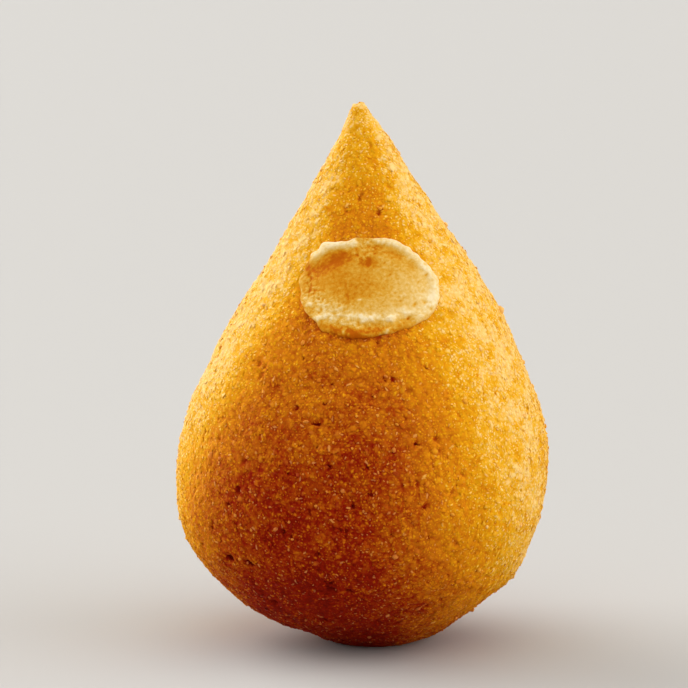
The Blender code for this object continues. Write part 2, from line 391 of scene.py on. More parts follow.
coat = {
    "cuts": 119,                # cuts along each side of the cube that is drawn out over the form
    "footFade": 1.5 * mm,       # the coat is smooth right at the foot
    "bedEdge": 0.86,            # and under the cheese, up to this share of the disc
    "bedFade": 0.97,
    "sunk": 0.05 * mm,          # the crumbs make up for this
    "dentSize": 4.5 * mm,
    "dentDepth": 0.22 * mm,
    "clumpSize": 1.35 * mm,     # crumbs stick together in clumps of about this width
    "clumpHeight": 0.22 * mm,
    "clumpStray": 0.3,          # how far their outlines stray, in widths
    "clumpSteepness": 1.6,      # of their sides
    "clumpRoundness": 0.6,      # the smaller, the flatter their tops
    "clumpMean": 0.6,           # what is the coat's mean level, between seam and top
    "pebbleSize": 0.9 * mm,
    "pebbleHeight": 0.14 * mm,
    "tipPebbles": 0.4,          # of their height, on the tip
    "pits": 460,
    "pitSeed": 4,
    "pitHeights": (2.0 * mm, 79.0 * mm),
    "pitDiscFree": 1.1,
    "pitWidths": (0.45 * mm, 1.2 * mm),
    "pitLean": 2,               # most of them are small
    "pitStretch": 1.9,
    "pitDepth": 0.42 * mm,
    "palePitDepth": 0.4,        # of the full depth, where the coat is palest
    "fullDepthFrom": 0.6,       # how brown the coat is where they have all of it
    "pitSlope": (0.15, 0.6),    # from the bottom's edge to the rim, in widths
    "pitBareness": 1.3,
    # the pits that show most: azimuth in degrees, height and width in mm, how many times as long as wide
    "seenPits": ((-46, 16.7, 1.15, 1.7), (-38, 16.3, 1.25, 1.4), (-11, 32.4, 0.80, 1.3),
                 (-24, 22.1, 0.80, 1.2), (-16, 38.6, 0.80, 2.2), (16, 35.7, 0.80, 1.5),
                 (9, 22.2, 0.60, 1.3), (-24, 31.2, 0.70, 1.0), (26, 33.5, 0.55, 1.0),
                 (-79, 4.5, 0.70, 1.3), (-55, 37.8, 0.70, 1.0), (-3, 26.7, 0.75, 1.3),
                 (2, 28.5, 0.65, 1.7), (45, 64.1, 0.70, 1.3), (-13, 18.9, 0.75, 1.2)),
    "seenPitDepth": 1.0,        # of their width
    "tipNotchX": -0.9 * mm,
    "tipNotchWidth": 0.35 * mm,
    "tipNotchDepth": 0.35 * mm,
    "tipNotchReach": (1.2 * mm, 0.1 * mm),      # how far below the tip it begins and is whole
    "patchSize": 2.6 * mm,      # patches where the paste shows with fewer crumbs on it
    "patchLevels": (-0.1, 0.35),
    "patchBare": 0.3,
    "paintedPitShade": 0.20,           # painted shade: the pits darker, and the hollows between clumps darker and the clumps' tops paler
    "paintedClumpShading": 0.12,
    "paintedLipShadow": 0.15,           # and a painted shadow under the lower edge of the cheese
    "lipShare": 1.03,           # where that is, as a share of the disc, and its half width
    "lipWidth": 0.05,
    "lipFade": (2.0 * mm, 6.0 * mm),            # below the disc's middle
    "stainSize": 1.7 * mm,      # amber flecks where the coat is pale
    "stainOctaves": 2,
    "stainLevels": (0.0, 0.6),
    "stainToast": 0.19,
}


def pitPlaces():
    c = coat
    draw = random.Random(c["pitSeed"])
    lowest, highest = (arcAtHeight(height) for height in c["pitHeights"])
    narrow, wide = c["pitWidths"]
    places = []
    while len(places) < c["pits"]:
        arc = draw.uniform(lowest, highest)
        azimuth = draw.uniform(-math.pi, math.pi)
        if draw.random() * croquette["bellyRadius"] > sectionAt(arc)[0]:
            continue
        if discShare(azimuth, arc) < c["pitDiscFree"]:
            continue
        width = narrow + (wide - narrow) * draw.random() ** c["pitLean"]
        point, way = surfaceAt(azimuth, arc)
        along = way.orthogonal().normalized()
        along.rotate(Quaternion(way, draw.uniform(0.0, math.pi)))
        brown = min(1.0, toastAndShadeAt(point, azimuth) / c["fullDepthFrom"])
        depth = c["palePitDepth"] + (1.0 - c["palePitDepth"]) * brown
        places.append((point, width, along, draw.uniform(1.0, c["pitStretch"]), depth))
    for azimuth, height, width, stretch in c["seenPits"]:
        point, way = surfaceAt(math.radians(azimuth), arcAtHeight(height * mm))
        level = Vector((0.0, 0.0, 1.0)).cross(way).normalized()
        places.append((point, width * mm, level, stretch, c["seenPitDepth"] * width * mm / c["pitDepth"]))
    return places


# How deep the pits are at a point, 0 to 1
def pitAt(point, pits, near):
    c = coat
    pit = 0.0
    for spot, i, _ in near.find_range(point, c["pitWidths"][1] * c["pitStretch"]):
        width, along, stretch, depth = pits[i][1:]
        off = point - spot
        distance = (off + along * off.dot(along) * (1.0 / stretch - 1.0)).length
        bottom, rim = (share * width for share in c["pitSlope"])
        pit = max(pit, depth * (1.0 - easeBetween(bottom, rim, distance)))
    return pit


# Above 0 on a clump and below 0 in the seams between them
def clumpAt(point):
    c = coat
    bent = point + noise.noise_vector(point / c["clumpSize"]) * c["clumpStray"] * c["clumpSize"]
    near, further = noise.voronoi(bent / c["clumpSize"])[0][:2]
    return min(1.0, c["clumpSteepness"] * (further - near)) ** c["clumpRoundness"] - c["clumpMean"]


def makeCoat():
    c = coat
    pits = pitPlaces()
    near = kdtree.KDTree(len(pits))
    for i, pit in enumerate(pits):
        near.insert(pit[0], i)
    near.balance()

    bm = bmesh.new()
    bmesh.ops.create_cube(bm, size=2.0)
    bmesh.ops.subdivide_edges(bm, edges=bm.edges[:], cuts=c["cuts"], use_grid_fill=True)
    layers = {"bare": [], "toastAndShade": []}
    tip = croquette["height"]
    notchFrom, notchTo = (tip - reach for reach in c["tipNotchReach"])
    for vert in bm.verts:
        even = Vector([math.tan(side * math.pi / 4) for side in vert.co]).normalized()
        azimuth = math.atan2(even.x, -even.y)
        arc = math.acos(max(-1.0, min(1.0, -even.z))) / math.pi * arcs[-1]
        point, way = surfaceAt(azimuth, arc)
        share = discShare(azimuth, arc)
        clear = easeBetween(0.0, c["footFade"], point.z) * easeBetween(c["bedEdge"], c["bedFade"], share)
        ends = easeBetween(0.0, croquette["tipFade"], tip - point.z)

        dent = noise.noise(point / c["dentSize"]) * c["dentDepth"]
        clump = clumpAt(point)
        pebble = noise.noise(point / c["pebbleSize"]) * c["pebbleHeight"] + clump * c["clumpHeight"]
        pebble *= c["tipPebbles"] + (1.0 - c["tipPebbles"]) * ends
        pit = pitAt(point, pits, near)
        level = (dent + pebble - c["sunk"] - pit * c["pitDepth"]) * clear
        notch = math.exp(-((point.x - c["tipNotchX"]) / c["tipNotchWidth"]) ** 2)
        notch *= easeBetween(notchFrom, notchTo, point.z)
        vert.co = point + way * level - Vector((0.0, 0.0, notch * c["tipNotchDepth"]))

        patch = easeBetween(*c["patchLevels"], noise.noise(point / c["patchSize"]))
        layers["bare"].append(max(1.0 - clear, min(1.0, c["pitBareness"] * pit), c["patchBare"] * patch))
        # where the painted shadow under the cheese's lower edge falls
        lip = math.exp(-((share - c["lipShare"]) / c["lipWidth"]) ** 2)
        lip *= easeBetween(*c["lipFade"], disc["height"] - point.z)
        flecks = noise.turbulence(point / c["stainSize"], c["stainOctaves"], False)
        brownedAndShaded = toastAndShadeAt(point, azimuth)
        brownedAndShaded += (1.0 - brownedAndShaded) ** 2 * easeBetween(*c["stainLevels"], flecks) * c["stainToast"]
        # painted shade in the pits and seams, paler clump tops, and a painted shadow under the cheese
        brownedAndShaded += c["paintedPitShade"] * pit - c["paintedClumpShading"] * clump + c["paintedLipShadow"] * lip
        layers["toastAndShade"].append(brownedAndShaded)
    bmesh.ops.recalc_face_normals(bm, faces=bm.faces[:])
    mesh = makeMesh("croquette", bm)
    addValues(mesh, layers)
    mesh.shade_smooth()
    return mesh


paste = friedBreadcrumb("fried breadcrumb paste", glow=fried["glow"])
crustPiece = addPiece("breadedCrust", makeCoat(), paste)
print("crust", len(crustPiece.data.polygons), "faces")


# Crumbs: one Geometry Nodes tree drops them on the crust. The granules share one even spread of points, and
# so do the grains: each of their kinds keeps its own part of it. Flakes and loose crumbs lie on top of them.

crumbs = {
    "density": 25.0e6,          # points a square metre, before the spacing thins them
    # how far apart the points are at least, and the seed
    "spreads": {"granules": (0.50 * mm, 7), "grains": (0.41 * mm, 8), "flakes": (2.8 * mm, 9),
                "loose": (2.5 * mm, 10)},
    # kind: spread, the part of it from and to; smallest and largest width in mm, lean to the small; length
    # and height in widths, how far its middle stands over the crust in widths; how much more its top is
    # fried than the paste, below 0 paler partly as a painted highlight, how much its crumbs differ in that,
    # gloss, how much of the dry colour, which is also a painted sheen
    "kinds": {
        "golden": ("granules", (0.00, 0.36), (0.50, 1.00, 1.6), (1.2, 0.30, -0.05), (-0.22, 0.24, 0.0, 0.0)),
        "honey": ("granules", (0.36, 0.72), (0.50, 1.00, 1.6), (1.3, 0.30, -0.05), (-0.12, 0.24, 0.0, 0.0)),
        "amber": ("granules", (0.72, 1.00), (0.50, 0.90, 1.6), (1.2, 0.30, -0.05), (0.00, 0.24, 0.0, 0.0)),
        "fine": ("grains", (0.00, 0.45), (0.26, 0.68, 1.8), (1.3, 0.40, -0.03), (-0.24, 0.66, 0.0, 0.0)),
        "straw": ("grains", (0.45, 0.91), (0.24, 0.60, 1.8), (1.4, 0.44, -0.03), (-0.38, 0.60, 0.0, 0.0)),
        "glint": ("grains", (0.91, 1.00), (0.26, 0.48, 1.6), (1.3, 0.50, 0.08), (-0.48, 0.50, 0.1, 0.24)),
        "flake": ("flakes", (0.0, 1.0), (0.26, 0.50, 2.0), (2.2, 0.50, 0.06), (-0.50, 0.40, 0.3, 0.32)),
        "loose": ("loose", (0.0, 1.0), (0.50, 1.00, 2.0), (1.3, 0.46, 0.02), (-0.24, 0.30, 0.1, 0.0)),
    },
    "shapes": 12,
    "seed": 7,
    "sides": (4, 5, 6),
    "corners": (0.6, 1.35),             # how far its corners reach, in half widths
    "cornerTurn": 0.33,                 # how uneven their spacing is
    "cornerLevels": (-0.2, 0.25),
    "cornerRise": 0.35,                 # how much of the top's tone they can have
    "topStray": 0.2,
    "tilt": 0.2,                        # from the crust, in radians
    "lowest": 0.02 * mm,                # above the surface that the croquette stands on
    # seeds of what each crumb draws in the tree
    "draws": {"part": 11, "width": 21, "turn": 31, "shape": 41, "tone": 51},
}


def crumbShapes(collection):
    c = crumbs
    draw = random.Random(c["seed"])
    for i in range(c["shapes"]):
        bm = bmesh.new()
        sides = c["sides"][i % len(c["sides"])]
        stray = c["topStray"]
        top = bm.verts.new((draw.uniform(-stray, stray), draw.uniform(-stray, stray), 0.5))
        bottom = bm.verts.new((0.0, 0.0, -0.5))
        ring = []
        for k in range(sides):
            angle = 2.0 * math.pi * (k + draw.uniform(-c["cornerTurn"], c["cornerTurn"])) / sides
            reach = 0.5 * draw.uniform(*c["corners"])
            corner = (math.cos(angle) * reach, math.sin(angle) * reach, draw.uniform(*c["cornerLevels"]))
            ring.append(bm.verts.new(corner))
        for k in range(sides):
            bm.faces.new((ring[k], ring[(k + 1) % sides], top))
            bm.faces.new((ring[(k + 1) % sides], ring[k], bottom))
            bm.edges.get((ring[k], ring[(k + 1) % sides])).smooth = False   # so the top shades as a soft dome
        mesh = makeMesh("crumbShape", bm)
        addValues(mesh, {"rise": [1.0, 0.0] + [draw.uniform(0.0, c["cornerRise"]) for corner in ring]})
        mesh.shade_smooth()
        shape = bpy.data.objects.new(f"crumbShape{i:02d}", mesh)
        collection.objects.link(shape)


def crumbTree():
    draws = crumbs["draws"]
    tilt = crumbs["tilt"]
    tree = bpy.data.node_groups.new("crumb coat", "GeometryNodeTree")
    sockets = tree.interface
    sockets.new_socket("Geometry", in_out="INPUT", socket_type="NodeSocketGeometry")
    kinds = {"Shapes": "Collection", "Material": "Material", "Seed": "Int"}
    for name in ("Shapes", "Material", "Spacing", "Density", "Share From", "Share To", "Smallest", "Largest",
                 "Lean", "Stretch", "Height", "Stand", "Seed"):
        sockets.new_socket(name, in_out="INPUT", socket_type="NodeSocket" + kinds.get(name, "Float"))
    sockets.new_socket("Geometry", in_out="OUTPUT", socket_type="NodeSocketGeometry")
    given = addNode(tree, "NodeGroupInput").outputs
    bare = addNode(tree, "GeometryNodeInputNamedAttribute", {"Name": "bare"}, data_type="FLOAT")
    covered = addNode(tree, "ShaderNodeMath", {0: 1.0, 1: bare.outputs["Attribute"]},
                      operation="SUBTRACT", use_clamp=True)
    drop = addNode(tree, "GeometryNodeDistributePointsOnFaces", {
        "Mesh": given["Geometry"], "Distance Min": given["Spacing"], "Density Max": given["Density"],
        "Density Factor": covered.outputs[0], "Seed": given["Seed"]}, distribute_method="POISSON")
    lot = addNode(tree, "FunctionNodeRandomValue", {"Seed": draws["part"]}, data_type="FLOAT")
    early = addNode(tree, "FunctionNodeCompare", {0: lot.outputs[1], 1: given["Share From"]},
                    operation="LESS_THAN", data_type="FLOAT")
    late = addNode(tree, "FunctionNodeCompare", {0: lot.outputs[1], 1: given["Share To"]},
                   operation="GREATER_EQUAL", data_type="FLOAT")
    others = addNode(tree, "FunctionNodeBooleanMath", {0: early.outputs[0], 1: late.outputs[0]},
                     operation="OR")
    kept = addNode(tree, "GeometryNodeDeleteGeometry", {
        "Geometry": drop.outputs["Points"], "Selection": others.outputs[0]}, domain="POINT")

    chance = addNode(tree, "FunctionNodeRandomValue", {"Seed": draws["width"]}, data_type="FLOAT").outputs[1]
    leaning = addNode(tree, "ShaderNodeMath", {0: chance, 1: given["Lean"]}, operation="POWER").outputs[0]
    width = addNode(tree, "ShaderNodeMapRange", {
        "Value": leaning, "To Min": given["Smallest"], "To Max": given["Largest"]}).outputs["Result"]
    longer = addNode(tree, "ShaderNodeMath", {0: width, 1: given["Stretch"]}, operation="MULTIPLY").outputs[0]
    tall = addNode(tree, "ShaderNodeMath", {0: width, 1: given["Height"]}, operation="MULTIPLY").outputs[0]
    size = addNode(tree, "ShaderNodeCombineXYZ", {"X": longer, "Y": width, "Z": tall}).outputs[0]
    angles = addNode(tree, "FunctionNodeRandomValue", {
        0: (-tilt, -tilt, 0.0), 1: (tilt, tilt, 2.0 * math.pi), "Seed": draws["turn"]},
        data_type="FLOAT_VECTOR").outputs[0]
    turn = addNode(tree, "FunctionNodeEulerToRotation", {0: angles}).outputs[0]
    turned = addNode(tree, "FunctionNodeRotateRotation", {
        0: drop.outputs["Rotation"], 1: turn}, rotation_space="LOCAL")
    height = addNode(tree, "ShaderNodeMath", {0: width, 1: given["Stand"]}, operation="MULTIPLY").outputs[0]
    rise = addNode(tree, "ShaderNodeVectorMath", {
        0: drop.outputs["Normal"], "Scale": height}, operation="SCALE").outputs[0]
    placed = addNode(tree, "GeometryNodeSetPosition", {"Geometry": kept.outputs[0], "Offset": rise})
    shapes = addNode(tree, "GeometryNodeCollectionInfo", {
        "Collection": given["Shapes"], "Separate Children": True, "Reset Children": True})
    # the index runs round the shapes again and again
    pick = addNode(tree, "FunctionNodeRandomValue", {4: 0, 5: 1000, "Seed": draws["shape"]}, data_type="INT")
    grains = addNode(tree, "GeometryNodeInstanceOnPoints", {
        "Points": placed.outputs[0], "Instance": shapes.outputs[0], "Pick Instance": True,
        "Instance Index": pick.outputs[2], "Rotation": turned.outputs[0], "Scale": size})
    tone = addNode(tree, "FunctionNodeRandomValue", {"Seed": draws["tone"]}, data_type="FLOAT")
    toned = addNode(tree, "GeometryNodeStoreNamedAttribute", {
        "Geometry": grains.outputs[0], "Name": "tone", "Value": tone.outputs[1]},
        data_type="FLOAT", domain="INSTANCE")
    whole = addNode(tree, "GeometryNodeRealizeInstances", {"Geometry": toned.outputs[0]})
    # a crumb that would reach below the surface that the croquette stands on is pressed flat
    spot = addNode(tree, "GeometryNodeInputPosition")
    parts = addNode(tree, "ShaderNodeSeparateXYZ", {0: spot.outputs[0]})
    level = addNode(tree, "ShaderNodeMath", {0: parts.outputs["Z"], 1: crumbs["lowest"]}, operation="MAXIMUM")
    pressed = addNode(tree, "ShaderNodeCombineXYZ", {
        "X": parts.outputs["X"], "Y": parts.outputs["Y"], "Z": level.outputs[0]})
    settled = addNode(tree, "GeometryNodeSetPosition", {
        "Geometry": whole.outputs[0], "Position": pressed.outputs[0]})
    finished = addNode(tree, "GeometryNodeSetMaterial", {
        "Geometry": settled.outputs[0], "Material": given["Material"]})
    addNode(tree, "NodeGroupOutput", {"Geometry": finished.outputs[0]})
    return tree


def setInputs(modifier, values):
    for item in modifier.node_group.interface.items_tree:
        if item.in_out == "INPUT" and item.name in values:
            modifier[item.identifier] = values[item.name]


def scatterCrumbs():
    c = crumbs
    collection = bpy.data.collections.new("crumb shapes")
    crumbShapes(collection)
    tree = crumbTree()
    pieces = []
    for kind, (spread, part, widths, form, (offset, differing, gloss, drySheen)) in c["kinds"].items():
        name = kind + "Crumbs"
        spacing, seed = c["spreads"][spread]
        material = friedBreadcrumb("fried breadcrumb, " + name, offset, differing, gloss, drySheen=drySheen)
        piece = addPiece(name, crustPiece.data)
        modifier = piece.modifiers.new("crumbs", "NODES")
        modifier.node_group = tree
        setInputs(modifier, {
            "Shapes": collection, "Material": material, "Spacing": spacing, "Density": c["density"],
            "Share From": part[0], "Share To": part[1],
            "Smallest": widths[0] * mm, "Largest": widths[1] * mm, "Lean": widths[2],
            "Stretch": form[0], "Height": form[1], "Stand": form[2], "Seed": seed})
        evaluated = piece.evaluated_get(bpy.context.evaluated_depsgraph_get())
        mesh = bpy.data.meshes.new_from_object(evaluated)
        mesh.name = name
        piece.modifiers.remove(modifier)
        piece.data = mesh
        pieces.append(piece)
        print(name, len(mesh.polygons), "faces")
    for shape in list(collection.objects):
        bpy.data.objects.remove(shape, do_unlink=True)
    bpy.data.collections.remove(collection)
    return pieces


crumbPieces = scatterCrumbs()


# The coarse crumbs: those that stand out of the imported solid, drawn with the same seed and so in the same
# places, a few that stand out of the outline from the front, and the pale ones that show most there

coarse = {
    "seed": 11,
    "shapes": 6,
    "count": 80,
    "corners": (0.8, 1.15),
    "breadths": (0.65, 0.9),
    "heights": (0.6, 0.8),
    "widths": (0.9 * mm, 1.5 * mm),
    "share": 0.72,              # of the solid's width, as fine crumbs heap up round their feet
    "stray": 0.3,
    "turnStray": math.radians(7),
    "lowest": 2.6 * mm,
    "highest": 80.0 * mm,
    "areaSteps": 400,
    "discFree": 1.3,
    # azimuth in degrees, height and width in mm
    "onOutline": ((88, 52.3, 1.9), (86, 7.8, 1.2), (82, 77.0, 0.8), (80, 9.5, 0.9), (92, 13.0, 0.8),
                  (74, 5.2, 1.0), (-94, 36.0, 0.8), (-86, 19.5, 0.9), (95, 40.0, 0.8)),
    "pale": ((-14, 26.5, 0.7), (-11, 28.7, 0.6), (-20, 27.4, 0.6), (41, 22.1, 0.7), (-22, 23.8, 0.6),
             (-34, 21.2, 0.5), (-41, 17.0, 0.9), (18, 16.5, 0.6), (-39, 12.9, 0.6), (-4, 35.2, 0.5),
             (-3, 39.9, 0.6), (10, 38.6, 0.7), (-10, 36.0, 0.6), (-22, 35.5, 0.5), (-6, 41.5, 0.5),
             (3, 42.7, 0.5), (13, 25.8, 0.5), (-21, 21.1, 0.6), (-43, 25.2, 0.5), (11, 15.0, 0.5)),
    "riseFrom": -0.2,           # where its own tone begins, as a share of its top's height
    "offset": -0.16,
    "spread": 0.4,
    "paleTone": -0.6,
    "drySheen": 0.25,
}


def coarseShapes(draw):
    shapes = []
    for i in range(coarse["shapes"]):
        bm = bmesh.new()
        bmesh.ops.create_icosphere(bm, subdivisions=1, radius=0.5)
        for vert in bm.verts:
            vert.co *= draw.uniform(*coarse["corners"])
        sides = (1.0, draw.uniform(*coarse["breadths"]), draw.uniform(*coarse["heights"]))
        bmesh.ops.scale(bm, vec=sides, verts=bm.verts)
        shapes.append(bm)
    return shapes


def coarsePlaces(draw):
    c = coarse
    lowest = arcAtHeight(c["lowest"])
    highest = arcAtHeight(c["highest"])
    steps = [lowest + (highest - lowest) * i / c["areaSteps"] for i in range(c["areaSteps"] + 1)]
    areas = [0.0]
    for arc in steps[1:]:
        areas.append(areas[-1] + sectionAt(arc)[0])
    goldenTurn = math.pi * (3.0 - math.sqrt(5.0))
    places = []
    for i in range(c["count"]):
        area = areas[-1] * (i + 0.5 + draw.uniform(-c["stray"], c["stray"])) / c["count"]
        arc = steps[bisect.bisect_left(areas, area)]
        azimuth = i * goldenTurn + draw.uniform(-c["turnStray"], c["turnStray"])
        width = draw.uniform(*c["widths"]) * c["share"]
        turn = draw.uniform(0.0, 2.0 * math.pi)
        if discShare(azimuth, arc) >= c["discFree"]:
            places.append((i, azimuth, arc, width, turn, False))
    for pale, own in ((False, c["onOutline"]), (True, c["pale"])):
        for i, (azimuth, height, width) in enumerate(own):
            turn = draw.uniform(0.0, 2.0 * math.pi)
            places.append((i, math.radians(azimuth), arcAtHeight(height * mm), width * mm, turn, pale))
    return places


def makeCoarseCrumbs():
    draw = random.Random(coarse["seed"])
    shapes = coarseShapes(draw)
    points = []
    faces = []
    layers = {"toastAndShade": [], "tone": [], "rise": []}
    for i, azimuth, arc, width, turn, pale in coarsePlaces(draw):
        spot, way = surfaceAt(azimuth, arc)
        stand = way.to_track_quat("Z", "Y").to_matrix().to_4x4()
        place = Matrix.Translation(spot) @ stand @ Matrix.Rotation(turn, 4, "Z") @ Matrix.Scale(width, 4)
        shape = shapes[i % len(shapes)]
        tone = coarse["paleTone"] if pale else draw.random()
        first = len(points)
        top = max(vert.co.z for vert in shape.verts)
        for vert in shape.verts:
            points.append(place @ vert.co)
            layers["toastAndShade"].append(toastAndShadeAt(spot, math.atan2(spot.x, -spot.y)))
            layers["tone"].append(tone)
            layers["rise"].append(easeBetween(coarse["riseFrom"] * top, top, vert.co.z))
        faces += [[first + vert.index for vert in face.verts] for face in shape.faces]
    for shape in shapes:
        shape.free()
    mesh = bpy.data.meshes.new("coarseCrumbs")
    mesh.from_pydata(points, [], faces)
    addValues(mesh, layers)
    mesh.shade_smooth()
    return mesh


coarseBreadcrumb = friedBreadcrumb(
    "fried breadcrumb, coarse", coarse["offset"], coarse["spread"], drySheen=coarse["drySheen"])
crumbPieces.append(addPiece("coarseCrumbs", makeCoarseCrumbs(), coarseBreadcrumb))
print("coarseCrumbs", len(crumbPieces[-1].data.polygons), "faces")


# The disc of cheese: a thin wafer, thickest on its rolled lower edge, with a raised cream rim at the top
# left and on the right, rubbed thin at the top and on the left. Places on it are in mm from its middle,
# to the right and up.

